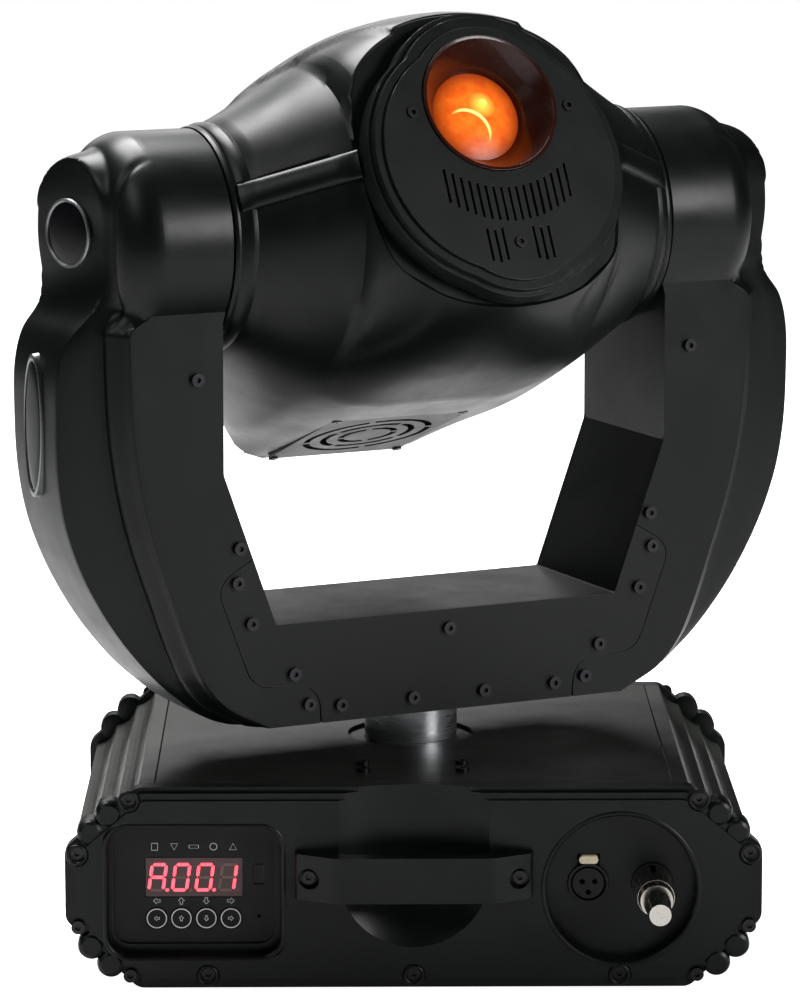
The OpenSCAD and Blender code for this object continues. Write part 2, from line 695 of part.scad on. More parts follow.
// Strips that close the joint between the shells, hub to ring and hub to rear cover
module side_rails() color("#333836") head_place() for (m = [0, 1]) mirror([m, 0, 0]) {
    front = [[72, -96.9], [123.5, -58.4], [120, -55.5], [69, -93.3]];
    rear = [[124.5, 59], [59, 148.5], [55.5, 145], [120.5, 56]];
    translate([0, 0, rail_z0 + 0.2]) linear_extrude(rail_z1 - rail_z0 - 0.4) {
        polygon(front);
        polygon(rear);
    }
}

// Front outline: a big disc with a cap over the lens and a chin below, grown by g
module face_outline(g) {
    translate([0, -7]) circle(r = 65 + g, $fn = 120);
    translate([0, optic_z]) circle(r = 43 + g * 1.4, $fn = 96);
    translate([0, -35]) circle(r = 40.5 + g, $fn = 96);
}

module front_ring() color("#1d2120") head_place() difference() {
    union() {
        slab_y(-108.5, -shell_front - gap) face_outline(7);
        slab_y(-112.4, -108.4) face_outline(4.5);
        slab_y(-shell_front - gap - 0.1, -91) translate([0, -2]) circle(r = 61, $fn = 96);
    }
    slab_y(-120, -shell_front - 2) difference() {
        face_outline(-6);
        for (m = [-1, 1]) translate([m * 54 - 14, plate_screws[1][1] - 5]) square([28, 10]);
        translate([-5, -80]) square([10, 30]);
    }
    slab_y(-120, -80) {
        translate([0, -2]) circle(r = 50, $fn = 96);
        translate([0, optic_z]) circle(r = 40.6, $fn = 96);
    }
}

// Cooling slots: an arched row of tall slots and two groups of three below it
module vent_slots() {
    for (i = [-8:8]) let (x = i * 4.32, drop = 11.5 * (1 - pow(i / 8, 2)))
        translate([x - 0.75, -31.5 - drop]) square([1.5, 18.5]);
    for (m = [-1, 1], i = [0:2]) translate([m * (13.2 + (i - 1) * 4.3) - 0.75, -65 + abs(i - 1)]) square([1.5, 17.5]);
}

plate_screws = [[-44.9, 18.4], [44.9, 18.4], [0, -54.9]];

module front_plate() color("#232726") head_place() difference() {
    slab_y(-lens_y, -112.5) face_outline(0);
    slab_y(-120, -110) {
        translate([0, optic_z]) circle(r = hood_r + 0.1, $fn = 96);
        vent_slots();
    }
    for (p = plate_screws) rod_y(2, -120, -110, p[0], p[1]);
}

module head_screws() color("#151616") head_place() {
    for (p = plate_screws) translate([p[0], -lens_y, p[1]]) rotate([90, 0, 0]) cap_screw(r = 3.2, h = 1.2, stem = 1.8);
    fan_place() for (p = fan_screws) translate([p[0], p[1], -1]) rotate([180, 0, 0])
        cap_screw(r = 2.6, h = 1, stem = 1.5);
}

module lens_hood() color("#1a1c1c") head_place() translate([0, -lens_y - 1.5, optic_z]) rotate([-90, 0, 0])
    rotate_extrude($fn = 96) polygon([[hood_r, 0], [hood_r, 3.6], [40, 3.6], [40, 5.4], [36.5, 5.4],
                                      [26.5, 20], [26.5, 27], [24.3, 27], [24.3, 19], [hood_r - 1.8, 0.4]]);

// Glass lens of radius r, with its edge thickness and the bulge of each face
module lens(r, edge, bulge) {
    s = (r * r + bulge * bulge) / (2 * bulge);
    half = asin(r / s);
    face = [for (i = [0:8]) let (q = half * i / 8) [s * sin(q), edge / 2 + bulge - s * (1 - cos(q))]];
    rotate_extrude($fn = 96) polygon(concat(face, [for (i = [8:-1:0]) [face[i][0], -face[i][1]]]));
}

module front_lens() color("#d8541a") head_place()
    translate([0, -lens_y + 19.5, optic_z]) rotate([90, 0, 0]) lens(24.2, 3, 3.2);

module rear_cover() color("#232726") head_place() difference() {
    intersection() {
        head_loft(0);
        translate([-200, shell_rear + 0.3, -200]) cube([400, 60, 400]);
    }
    translate([-43, 100, -58]) cube([86, shell_rear + 5 - 100, 108]);
    for (i = [-6:6]) translate([i * 6 - 1.2, 140, -36]) cube([2.4, 40, 64]);
}

// Chassis tray with a cheek at each hub; the axles are fixed in the cheeks
module head_chassis() color("#6d7173") head_place() {
    difference() {
        union() {
            translate([-66, -86, -50]) cube([132, 136, 2.5]);
            translate([-100, -34, -50]) cube([200, 68, 2.5]);
            for (x = [-100, 97.5]) translate([x, -34, -50]) cube([2.5, 68, 86]);
        }
        for (x = [-102, 95]) rod_x(axle_r, x, x + 8);
    }
    for (x = [-33, 33]) rod_y(3, -86, -18, x, optic_z);
    for (x = [-33, 33], y = [-86, -18]) translate([x - 4, y, -48]) cube([8, 3, 48 + optic_z - 1]);
}

module tilt_axles() color("#7b7f81") head_place() for (m = [0, 1]) mirror([m, 0, 0]) difference() {
    union() {
        rod_x(axle_r, 96, tilt_pulley_x + 14);
        rod_x(34, 100.2, 104);
    }
    rod_x(axle_r - 5, 90, 180);
}

module tilt_pulley() color("#8f9294") head_place()
    translate([-tilt_pulley_x - 12, 0, 0]) rotate([0, 90, 0]) pulley(tilt_pulley_r, 12, axle_r, 56);

module lamp() color("#e8ecee") head_place() translate([0, 66, optic_z]) rotate([90, 0, 0]) {
    translate([0, 0, -38]) cylinder(r = 11, h = 26);
    translate([0, 0, -12.1]) cylinder(r = 5, h = 20);
    translate([0, 0, 12]) sphere(r = 8);
}

module reflector() color("#d5d8da") head_place() translate([0, 84, optic_z]) rotate([90, 0, 0])
    rotate_extrude($fn = 96) difference() {
        translate([0, 36]) intersection() {
            difference() {
                circle(r = 44);
                circle(r = 41.5);
            }
            translate([13, -60]) square([60, 58]);
        }
        translate([0, 60]) square([100, 100]);
    }

// Wheel with n apertures; one of them stands on the optical axis
module effect_wheel(r, n, hole, t) difference() {
    cylinder(r = r, h = t, $fn = 96);
    for (i = [0:n - 1]) rotate([0, 0, 90 + i * 360 / n]) translate([wheel_pcd, 0, -1]) cylinder(r = hole, h = t + 2);
    translate([0, 0, -1]) cylinder(r = 2.55, h = t + 2);
}

wheel_z = optic_z - wheel_pcd;

module gobo_wheel() color("#a9adaf") head_place()
    translate([0, 4, wheel_z]) rotate([90, 0, 0]) effect_wheel(38, 8, 8, 2);

module colour_wheel() color("#c2793a") head_place()
    translate([0, 13, wheel_z]) rotate([90, 0, 0]) effect_wheel(39.5, 9, 8.2, 1.5);

// Small motor on an upright plate; its shaft ends at shaft_y
module wheel_motor(can_y, plate_y, shaft_y) {
    rod_y(8, can_y, can_y + 12, 0, wheel_z);
    rod_y(2.5, min(can_y, shaft_y), max(can_y, shaft_y), 0, wheel_z);
    translate([-10, plate_y, -47.5]) cube([20, 2, 47.5 + wheel_z + 8]);
}

module wheel_motors() color("#3f4245") head_place() {
    wheel_motor(-14, -14, 4.6);
    wheel_motor(18, 28, 11);
}

// Lens ring that slides on the two guide rods
module focus_carriage() color("#54585a") head_place() translate([0, -52, optic_z]) rotate([90, 0, 0]) difference() {
    union() {
        translate([0, 0, -4]) cylinder(r = 25, h = 8);
        translate([-39, -7, -4]) cube([78, 14, 8]);
    }
    translate([0, 0, -5]) cylinder(r = 21, h = 10);
    for (x = [-33, 33]) translate([x, 0, -5]) cylinder(r = 3.05, h = 10);
}

fan_screws = [[-38, -44], [38, -44], [-38, 44], [38, 44]];

module fan_place() {
    translate([0, -fan_c[0], fan_c[1]]) rotate([fan_tilt, 0, 0]) children();
}

// Flat plate under the fan with three broken rings of slots
module fan_grille() color("#2e3230") head_place() fan_place() difference() {
    translate([-40.5, -46.5, -1]) linear_extrude(2) polygon(rounded([[0, 0], [81, 0], [81, 93], [0, 93]], 3));
    for (r = [15, 24.5, 34]) difference() {
        translate([0, 0, -3]) cylinder(r = r + 1.8, h = 6);
        translate([0, 0, -4]) cylinder(r = r - 1.8, h = 8);
        for (i = [0:3]) rotate([0, 0, 45 * (r / 9.5) + i * 90]) translate([0, -1.6, -5]) cube([60, 3.2, 10]);
    }
    for (p = fan_screws) translate([p[0], p[1], -2]) cylinder(r = 1.6, h = 4);
}

module fan_frame() color("#1c1d1e") head_place() fan_place() difference() {
    translate([-38, -38, 1.2]) cube([76, 76, 24]);
    translate([0, 0, 0]) cylinder(r = 36, h = 23);
    translate([0, 0, 0]) difference() {
        cylinder(r = 36, h = 30);
        cylinder(r = 15, h = 40);
        for (a = [0:60:300]) rotate([0, 0, a]) translate([0, -2, 0]) cube([40, 4, 40]);
    }
    translate([0, 0, 22]) cylinder(r = 2.05, h = 10);
}

module fan_rotor() color("#26282a") head_place() fan_place() {
    translate([0, 0, 3]) cylinder(r = 15, h = 19);
    translate([0, 0, 21]) cylinder(r = 2, h = 4);
    for (a = [0:360 / 7:359]) rotate([0, 0, a]) translate([14, -1, 4]) rotate([32, 0, 0])
        translate([0, -1, -0.5]) cube([20.5, 2, 16]);
}

base_bottom_plate();
base_top_plate();
base_side_left();
base_side_right();
base_front_cover();
base_rear_cover();
front_handle();
rear_handle();
base_screws();
rubber_feet();
control_panel();
display_module();
button_mode();
button_up();
button_down();
button_enter();
dmx_out_socket();
dmx_in_socket();
latch_tab();
dmx_plug();
power_inlet();
ballast();
pan_bearing();
pan_motor();
pan_pinion();
pan_belt();
yoke_frame();
yoke_front_plate();
yoke_rear_plate();
arm_cover_left();
arm_cover_right();
yoke_bolts();
arm_badges();
pan_shaft();
pan_pulley();
tilt_bearings();
tilt_motor();
tilt_belt();
tilt_pinion();
head_upper_shell();
head_lower_shell();
side_rails();
front_ring();
front_plate();
head_screws();
lens_hood();
front_lens();
rear_cover();
head_chassis();
tilt_axles();
tilt_pulley();
lamp();
reflector();
colour_wheel();
gobo_wheel();
wheel_motors();
focus_carriage();
fan_grille();
fan_frame();
fan_rotor();
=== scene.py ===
"""Looks of the moving head light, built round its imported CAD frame. Lengths are millimetres in the axes of
the base, the yoke or the head; the matrices BASE, YOKE and HEAD turn them into metres in the row frame."""

import json
from math import asin, atan2, cos, pi, radians, sin, sqrt, tan

import bmesh
import bpy
import numpy as np
from mathutils import Matrix, Vector

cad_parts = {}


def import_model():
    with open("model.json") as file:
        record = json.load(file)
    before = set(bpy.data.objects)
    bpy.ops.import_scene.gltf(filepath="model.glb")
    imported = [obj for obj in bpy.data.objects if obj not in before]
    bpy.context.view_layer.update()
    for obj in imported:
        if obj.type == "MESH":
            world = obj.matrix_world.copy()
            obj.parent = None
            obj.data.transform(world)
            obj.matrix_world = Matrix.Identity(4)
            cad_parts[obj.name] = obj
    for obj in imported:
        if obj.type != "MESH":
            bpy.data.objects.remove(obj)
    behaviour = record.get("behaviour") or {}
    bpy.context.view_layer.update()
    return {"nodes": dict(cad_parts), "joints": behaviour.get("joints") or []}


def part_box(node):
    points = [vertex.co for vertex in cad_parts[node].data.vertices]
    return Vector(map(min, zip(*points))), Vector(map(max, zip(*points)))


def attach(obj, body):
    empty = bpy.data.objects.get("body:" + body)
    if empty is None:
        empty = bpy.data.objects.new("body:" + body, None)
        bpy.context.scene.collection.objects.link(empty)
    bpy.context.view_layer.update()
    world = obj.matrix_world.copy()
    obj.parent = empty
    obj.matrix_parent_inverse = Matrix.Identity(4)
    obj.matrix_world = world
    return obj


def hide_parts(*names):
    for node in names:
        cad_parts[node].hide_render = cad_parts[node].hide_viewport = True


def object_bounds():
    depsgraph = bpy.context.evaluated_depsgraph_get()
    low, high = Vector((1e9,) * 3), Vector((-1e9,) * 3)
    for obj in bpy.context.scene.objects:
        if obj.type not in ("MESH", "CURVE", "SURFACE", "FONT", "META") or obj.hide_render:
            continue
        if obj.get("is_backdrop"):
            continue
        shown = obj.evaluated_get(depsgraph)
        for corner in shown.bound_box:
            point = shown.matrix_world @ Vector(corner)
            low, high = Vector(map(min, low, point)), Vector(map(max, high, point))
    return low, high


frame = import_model()

# ---------- frames ----------


def joint(name):
    return next(j for j in frame["joints"] if j["name"] == name)


TILT_Z = joint("tilt")["pos_m"][2] * 1000
PAN = atan2(-joint("tilt")["axis"][1], -joint("tilt")["axis"][0])
ELEVATION = asin(joint("focus_slide")["axis"][2])
BASE = Matrix.Scale(0.001, 4)
YOKE = BASE @ Matrix.Rotation(PAN, 4, "Z")
YOKE_BACK = YOKE @ Matrix.Rotation(pi, 4, "Z")
HEAD = YOKE @ Matrix.Translation((0, 0, TILT_Z)) @ Matrix.Rotation(-ELEVATION, 4, "X")

# ---------- materials ----------


def node(tree, kind, **values):
    made = tree.nodes.new(kind)
    for name, value in values.items():
        if name in made.inputs:
            made.inputs[name].default_value = value
        else:
            setattr(made, name, value)
    return made


def principled(name, colour, rough, metal=0.0, coat=0.0, specular=0.5):
    """A new material with its Principled shader, and the object coordinates that its patterns use."""
    material = bpy.data.materials.new(name)
    material.use_nodes = True
    tree = material.node_tree
    shader = tree.nodes["Principled BSDF"]
    shader.inputs["Base Color"].default_value = (*colour, 1)
    shader.inputs["Roughness"].default_value = rough
    shader.inputs["Metallic"].default_value = metal
    shader.inputs["Coat Weight"].default_value = coat
    shader.inputs["Specular IOR Level"].default_value = specular
    place = node(tree, "ShaderNodeTexCoord")
    return material, tree, shader, place.outputs["Object"]


def noise(tree, where, scale, detail=2.0, rough=0.5):
    made = node(tree, "ShaderNodeTexNoise", Scale=scale, Detail=detail, Roughness=rough)
    tree.links.new(where, made.inputs["Vector"])
    return made.outputs["Fac"]


def remap(tree, value, low, high, from_low=0.3, from_high=0.7):
    made = node(tree, "ShaderNodeMapRange")
    for name, number in zip(("From Min", "From Max", "To Min", "To Max"), (from_low, from_high, low, high)):
        made.inputs[name].default_value = number
    tree.links.new(value, made.inputs["Value"])
    return made.outputs["Result"]


def blend_colour(tree, factor, first, second):
    made = node(tree, "ShaderNodeMix", data_type="RGBA")
    tree.links.new(factor, made.inputs[0])
    for socket, colour in ((made.inputs[6], first), (made.inputs[7], second)):
        if isinstance(colour, bpy.types.NodeSocket):
            tree.links.new(colour, socket)
        else:
            socket.default_value = (*colour, 1)
    return made.outputs[2]


def worn_edges(tree, radius=0.0012):
    """1 along outside edges and 0 on open faces, from the angle between the rounded and the true normal."""
    rounded = node(tree, "ShaderNodeBevel", samples=4, Radius=radius)
    geometry = node(tree, "ShaderNodeNewGeometry")
    dot = node(tree, "ShaderNodeVectorMath", operation="DOT_PRODUCT")
    tree.links.new(rounded.outputs[0], dot.inputs[0])
    tree.links.new(geometry.outputs["Normal"], dot.inputs[1])
    return remap(tree, dot.outputs["Value"], 1, 0, 0.78, 0.99)


SATIN_SPECULAR = 0.26


def moulded(name, colour, rough, grain, depth=0.00006, tint=0.25, coat=0.0, wear=0.0):
    """Satin plastic or powder coat: fine grain, soft changes of tone and gloss, and paler worn edges."""
    material, tree, shader, where = principled(name, colour, rough, 0, coat, SATIN_SPECULAR)
    broad = noise(tree, where, 9, 3)
    darker = tuple(c * (1 - tint) for c in colour)
    paler = tuple(min(1, c * (1 + tint)) for c in colour)
    tone = blend_colour(tree, remap(tree, broad, 0, 1), darker, paler)
    if wear:
        edge = node(tree, "ShaderNodeMath", operation="MULTIPLY")
        tree.links.new(worn_edges(tree), edge.inputs[0])
        tree.links.new(remap(tree, noise(tree, where, 70, 4), 0, wear, 0.4, 0.7), edge.inputs[1])
        tone = blend_colour(tree, edge.outputs[0], tone, tuple(min(1, c * 3 + 0.06) for c in colour))
    tree.links.new(tone, shader.inputs["Base Color"])
    patches = noise(tree, where, 35, 4, 0.6)
    tree.links.new(remap(tree, patches, rough - 0.05, rough + 0.06), shader.inputs["Roughness"])
    bump = node(tree, "ShaderNodeBump", Strength=0.6, Distance=depth)
    tree.links.new(noise(tree, where, grain, 3, 0.55), bump.inputs["Height"])
    tree.links.new(bump.outputs[0], shader.inputs["Normal"])
    return material


def machined(name, colour, rough=0.25, stretch=(1, 1, 60), depth=0.00002):
    """Bare metal with fine turning or brushing marks, which stretch gives their direction."""
    material, tree, shader, where = principled(name, colour, rough, metal=1.0)
    mapping = node(tree, "ShaderNodeMapping", Scale=stretch)
    tree.links.new(where, mapping.inputs["Vector"])
    marks = noise(tree, mapping.outputs[0], 40, 5, 0.65)
    tree.links.new(remap(tree, marks, rough * 0.7, rough * 1.5), shader.inputs["Roughness"])
    patches = remap(tree, noise(tree, where, 25, 3), 0, 1)
    tone = blend_colour(tree, patches, tuple(c * 0.8 for c in colour), colour)
    tree.links.new(tone, shader.inputs["Base Color"])
    bump = node(tree, "ShaderNodeBump", Strength=0.5, Distance=depth)
    tree.links.new(marks, bump.inputs["Height"])
    tree.links.new(bump.outputs[0], shader.inputs["Normal"])
    return material


def glowing(name, colour, strength, rough=0.25):
    material, tree, shader, where = principled(name, colour, rough)
    mottle = remap(tree, noise(tree, where, 300, 2), 0, 1)
    glow = blend_colour(tree, mottle, tuple(c * 0.75 for c in colour), colour)
    shader.inputs["Emission Strength"].default_value = strength
    tree.links.new(glow, shader.inputs["Emission Color"])
    return material


def lens_material():
    """Coated glass with painted light: an orange painted glow, a painted reflection arc with its painted
    highlight, and the painted glow fading dark towards the rim.
    """
    material, tree, shader, where = principled("lens_glass", (0.30, 0.05, 0.01), 0.22, specular=0.15)
    to_lens = node(tree, "ShaderNodeMapping", vector_type="POINT")
    back = (HEAD @ Matrix.Translation((0, 0, OPTIC_Z))).inverted()
    to_lens.inputs["Rotation"].default_value = back.to_euler()
    to_lens.inputs["Location"].default_value = back.translation
    to_lens.inputs["Scale"].default_value = back.to_scale()
    tree.links.new(where, to_lens.inputs["Vector"])

    def disc(x, z, radius, soft):
        """1 inside a disc on the lens and 0 outside, in millimetres across and up."""
        apart = node(tree, "ShaderNodeVectorMath", operation="DISTANCE")
        flat = node(tree, "ShaderNodeVectorMath", operation="MULTIPLY")
        flat.inputs[1].default_value = (1, 0, 1)
        tree.links.new(to_lens.outputs[0], flat.inputs[0])
        tree.links.new(flat.outputs[0], apart.inputs[0])
        apart.inputs[1].default_value = (x, 0, z)
        return remap(tree, apart.outputs["Value"], 1, 0, radius - soft, radius + soft)

    def minus(first, second):
        made = node(tree, "ShaderNodeMath", operation="SUBTRACT", use_clamp=True)
        tree.links.new(first, made.inputs[0])
        tree.links.new(second, made.inputs[1])
        return made.outputs[0]

    # Painted glow: the lens's orange light is painted as mottled emission, not given by a lamp behind it.
    mottle = remap(tree, noise(tree, to_lens.outputs[0], 0.16, 5, 0.7), 0, 1, 0.35, 0.7)
    glow = blend_colour(tree, mottle, (0.70, 0.085, 0.004), (1.0, 0.19, 0.012))
    # Painted shade: the painted glow fades to dark towards the lens's rim.
    glow = blend_colour(tree, disc(0, 0, 17.5, 6.5), (0.10, 0.008, 0.0), glow)
    # Painted reflection: a bright arc across the lens.
    arc = minus(disc(-8, -10, 13.4, 0.6), disc(-9.2, -11.4, 14.2, 0.9))
    glow = blend_colour(tree, arc, glow, (3.2, 1.9, 0.5))
    # Painted highlight: a hot spot, with a softer painted glow round it.
    glow = blend_colour(tree, disc(4.6, 6.6, 1.4, 1.1), glow, (4.5, 2.6, 0.6))
    glow = blend_colour(tree, disc(3.6, 5.4, 4.2, 3.4), glow, (1.5, 0.62, 0.08))
    tree.links.new(glow, shader.inputs["Emission Color"])
    shader.inputs["Emission Strength"].default_value = 1.5
    return material


OPTIC_Z = 21.7
BLACK = (0.0030, 0.0040, 0.0040)
STEEL_BLACK = (0.0055, 0.0070, 0.0062)
coat_black = moulded("moulded_black", BLACK, 0.34, grain=900, depth=0.00004)
arm_black = moulded("arm_black", BLACK, 0.33, grain=900, depth=0.00003)
steel_black = moulded("powder_coat", STEEL_BLACK, 0.42, grain=1500, depth=0.00005, wear=0.5)
plate_grey = moulded("top_plate_coat", (0.012, 0.013, 0.010), 0.36, grain=1500, depth=0.00004, wear=0.4)
side_grey = moulded("side_coat", (0.020, 0.022, 0.018), 0.38, grain=1300, depth=0.00005, wear=0.3)
ring_black = moulded("ring_black", (0.0045, 0.0055, 0.0055), 0.38, grain=1000)
film_black = moulded("panel_film", (0.006, 0.0065, 0.007), 0.42, grain=2500, depth=0.00002, tint=0.15)
screw_black = machined("black_oxide", (0.045, 0.045, 0.048), 0.34, (60, 60, 60))
socket_black = moulded("socket_black", (0.006, 0.006, 0.006), 0.38, grain=2000)
rubber = moulded("rubber", (0.010, 0.010, 0.010), 0.68, grain=1800, depth=0.00012)
cream = moulded("latch_cream", (0.70, 0.62, 0.44), 0.4, grain=1500, tint=0.08)
chrome = machined("chrome", (0.80, 0.82, 0.84), 0.3, (1, 1, 30))
nickel = machined("nickel", (0.70, 0.67, 0.62), 0.2, (40, 1, 40))
bare = machined("machined_metal", (0.42, 0.43, 0.45), 0.3, (8, 8, 60))
motor_black = moulded("motor_black", (0.02, 0.02, 0.022), 0.4, grain=1200)
belt_black = moulded("belt_rubber", (0.012, 0.012, 0.012), 0.7, grain=1400, depth=0.0001)
badge_gloss = moulded("badge_gloss", (0.004, 0.004, 0.005), 0.2, grain=300, depth=0.00001)
badge_rim = machined("badge_rim", (0.30, 0.31, 0.31), 0.3, (60, 60, 60))
white_print = moulded("white_print", (0.62, 0.64, 0.62), 0.5, grain=2500, tint=0.06)
display_red = moulded("display_window", (0.045, 0.012, 0.013), 0.16, grain=900, depth=0.000005, coat=0.6)
segment_on = glowing("segment_on", (1.0, 0.06, 0.09), 3.2)
segment_off = moulded("segment_off", (0.16, 0.10, 0.09), 0.4, grain=2000)
# The hood is black; its dark red-brown base colour is painted reflection of the lens's orange light.
hood_black = moulded("hood_black", (0.030, 0.007, 0.004), 0.26, grain=900, depth=0.00001, coat=0.3)
quartz = moulded("quartz", (0.55, 0.56, 0.58), 0.15, grain=900, depth=0.00001)
mirror = machined("mirror", (0.85, 0.86, 0.88), 0.05, (1, 1, 1))
filter_ring = machined("filter_ring", (0.55, 0.35, 0.16), 0.25, (10, 10, 10))
lens_glass = lens_material()

# ---------- mesh helpers ----------


CREASE = 32


def finish_mesh(mesh, crease):
    """Smooth shading, apart from edges sharper than the crease angle."""
    mesh.polygons.foreach_set("use_smooth", [True] * len(mesh.polygons))
    mesh.set_sharp_from_angle(angle=radians(crease))


def from_bmesh(name, bm, at=Matrix.Identity(4)):
    """Makes an object of a bmesh that is moved by the matrix at."""
    bmesh.ops.transform(bm, matrix=at, verts=bm.verts)
    bmesh.ops.recalc_face_normals(bm, faces=bm.faces)
    mesh = bpy.data.meshes.new(name)
    bm.to_mesh(mesh)
    bm.free()
    made = bpy.data.objects.new(name, mesh)
    bpy.context.scene.collection.objects.link(made)
    return made


def piece(name, bm, at, body, material, stands_for=(), crease=CREASE, solid=0.0):
    """Puts a bmesh drawn in millimetres in its place, and has it ride on a body."""
    bmesh.ops.remove_doubles(bm, verts=bm.verts, dist=0.0005)
    made = from_bmesh(name, bm, at)
    finish_mesh(made.data, crease)
    made.data.materials.append(material)
    if solid:
        thick = made.modifiers.new("wall", "SOLIDIFY")
        thick.thickness = solid / 1000
        thick.offset = -1
        thick.use_even_offset = False
    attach(made, body)
    if stands_for:
        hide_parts(*stands_for)
    return made


def cut(thing, cutter):
    """Takes the cutter's volume out of a finished piece for good, and smooths what is left."""
    thing.modifiers.new("cut", "BOOLEAN").object = cutter
    thing.modifiers["cut"].solver = "EXACT"
    evaluated = thing.evaluated_get(bpy.context.evaluated_depsgraph_get())
    mesh = bpy.data.meshes.new_from_object(evaluated)
    thing.modifiers.clear()
    thing.data = mesh
    finish_mesh(mesh, CREASE)
    bpy.data.objects.remove(cutter)


def loft(bm, rings, closed=True, ends=True):
    """Skins rings of equal length; closed joins each ring's last point to its first."""
    rows = [[bm.verts.new(p) for p in ring] for ring in rings]
    count = len(rows[0])
    for first, second in zip(rows, rows[1:]):
        for i in range(count if closed else count - 1):
            j = (i + 1) % count
            bm.faces.new((first[i], first[j], second[j], second[i]))
    if ends:
        bm.faces.new(rows[0][::-1])
        bm.faces.new(rows[-1])


def prism(bm, outline, low, high, axis="y"):
    """Extrudes an outline of (x, z) points along Y, or (x, y) points along Z."""
    if axis == "y":
        loft(bm, [[(x, y, z) for x, z in outline] for y in (low, high)])
    else:
        loft(bm, [[(x, y, z) for x, y in outline] for z in (low, high)])


def turned(bm, profile, centre=(0, 0, 0), axis="y", count=48, ends=True):
    """Revolves (radius, distance) points about an axis through centre; ends closes the outer rings."""
    rings = []
    for radius, along in profile:
        ring = []
        for i in range(count):
            a = 2 * pi * i / count
            u, v = radius * cos(a), radius * sin(a)
            p = (u, along, v) if axis == "y" else (along, u, v) if axis == "x" else (u, v, along)
            ring.append(Vector(p) + Vector(centre))
        rings.append(ring)
    loft(bm, rings, ends=ends)


def rounded_box(half_x, half_z, r, centre=(0, 0), steps=6):
    points = []
    for sx, sz, start in ((1, 1, 0), (-1, 1, 90), (-1, -1, 180), (1, -1, 270)):
        for i in range(steps + 1):
            a = radians(start + 90 * i / steps)
            corner_x, corner_z = centre[0] + sx * (half_x - r), centre[1] + sz * (half_z - r)
            points.append((corner_x + r * cos(a), corner_z + r * sin(a)))
    return points


def circle(r, count, centre=(0, 0)):
    turns = [2 * pi * i / count for i in range(count)]
    return [(centre[0] + r * cos(a), centre[1] + r * sin(a)) for a in turns]


def smooth(t):
    t = np.clip(t, 0, 1)
    return t * t * (3 - 2 * t)


def along(table, at):
    """Reads a table of (place, value) at a place, on a curve through its points without overshoot."""
    xs, ys = np.array([p[0] for p in table], float), np.array([p[1] for p in table], float)
    slope = np.diff(ys) / np.diff(xs)
    tangent = np.concatenate([[slope[0]], (slope[:-1] + slope[1:]) / 2, [slope[-1]]])
    tangent[1:-1][slope[:-1] * slope[1:] <= 0] = 0
    at = np.clip(np.asarray(at, float), xs[0], xs[-1])
    i = np.clip(np.searchsorted(xs, at, side="right") - 1, 0, len(xs) - 2)
    h = xs[i + 1] - xs[i]
    t = (at - xs[i]) / h
    return ((2 * t**3 - 3 * t**2 + 1) * ys[i] + (t**3 - 2 * t**2 + t) * h * tangent[i]
            + (3 * t**2 - 2 * t**3) * ys[i + 1] + (t**3 - t**2) * h * tangent[i + 1])


def paint(name, material, edge):
    """Gives a CAD node its material, and rounds its sharp edges by edge millimetres."""
    thing = frame["nodes"][name]
    thing.data.materials.clear()
    thing.data.materials.append(material)
    if edge:
        thing.modifiers.new("weld", "WELD").merge_threshold = 0.00001
        bevel = thing.modifiers.new("edges", "BEVEL")
        bevel.width = edge / 1000
        bevel.segments = 2
        bevel.limit_method = "ANGLE"
        bevel.angle_limit = radians(34)
        bevel.miter_outer = "MITER_ARC"
        thing.modifiers.new("even", "WEIGHTED_NORMAL").keep_sharp = True


# ---------- CAD nodes shown as they are ----------

# Material, edge rounding in millimetres, and the nodes that have them
SHOWN = [
    (coat_black, 1.6, "base_front_cover base_rear_cover front_handle rear_handle"),
    (side_grey, 0.4, "base_side_left base_side_right"),
    (plate_grey, 0.3, "base_top_plate"),
    (steel_black, 0.4, "base_bottom_plate yoke_front_plate yoke_rear_plate yoke_frame"),
    (coat_black, 0.0, "rear_cover"),
    (ring_black, 1.4, "front_ring"),
    (steel_black, 0.3, "front_plate fan_grille head_chassis"),
    (screw_black, 0.15, "base_screws yoke_bolts head_screws"),
    (rubber, 0.8, "rubber_feet"),
    (film_black, 0.2, "control_panel"),
    (socket_black, 0.3, "dmx_out_socket dmx_in_socket power_inlet"),
    (display_red, 0.0, "display_module"),
    (rubber, 0.3, "button_mode button_up button_down button_enter"),
    (cream, 0.3, "latch_tab"),
    (nickel, 0.3, "dmx_plug"),
    (chrome, 0.4, "pan_shaft"),
    (bare, 0.2, "pan_pinion pan_pulley tilt_bearings tilt_pinion tilt_pulley tilt_axles"),
    (motor_black, 0.4, "pan_bearing pan_motor tilt_motor wheel_motors fan_frame"),
    (belt_black, 0.0, "pan_belt tilt_belt"),
    (motor_black, 0.3, "fan_rotor focus_carriage"),
    (hood_black, 0.2, "lens_hood"),
    (lens_glass, 0.0, "front_lens"),
    (quartz, 0.2, "lamp"),
    (mirror, 0.0, "reflector"),
    (filter_ring, 0.2, "colour_wheel gobo_wheel"),
]
for material, edge, names in SHOWN:
    for name in names.split():
        paint(name, material, edge)

# ---------- head shells ----------

RING_R, HUB_X, SHELL_FRONT, SHELL_REAR, SHELL_T = 72, 126, 97, 150, 3
UPPER_SEAM, LOWER_SEAM, COLLAR_Y = 5, -9, -96.2
# How far the head reaches at each distance from its middle: to the front, rear, top and bottom
REACH_FRONT = [(0, 103), (62, 103), (74, 96.5), (100, 77), (126, 56)]
REACH_REAR = [(0, 158), (48, 158), (62, 146), (95, 103), (126, 56)]
REACH_TOP = [(0, 95), (30, 94), (50, 91), (75, 81), (90, 72), (110, 61.5), (126, 56)]
REACH_LOW = [(0, 94), (45, 93), (75, 84), (90, 77), (110, 65), (126, 56)]
# Half width of the raised top deck against the distance forward
TOP_CREASE = [(-60, 96), (0, 92), (25, 85), (55, 65), (102, 35)]


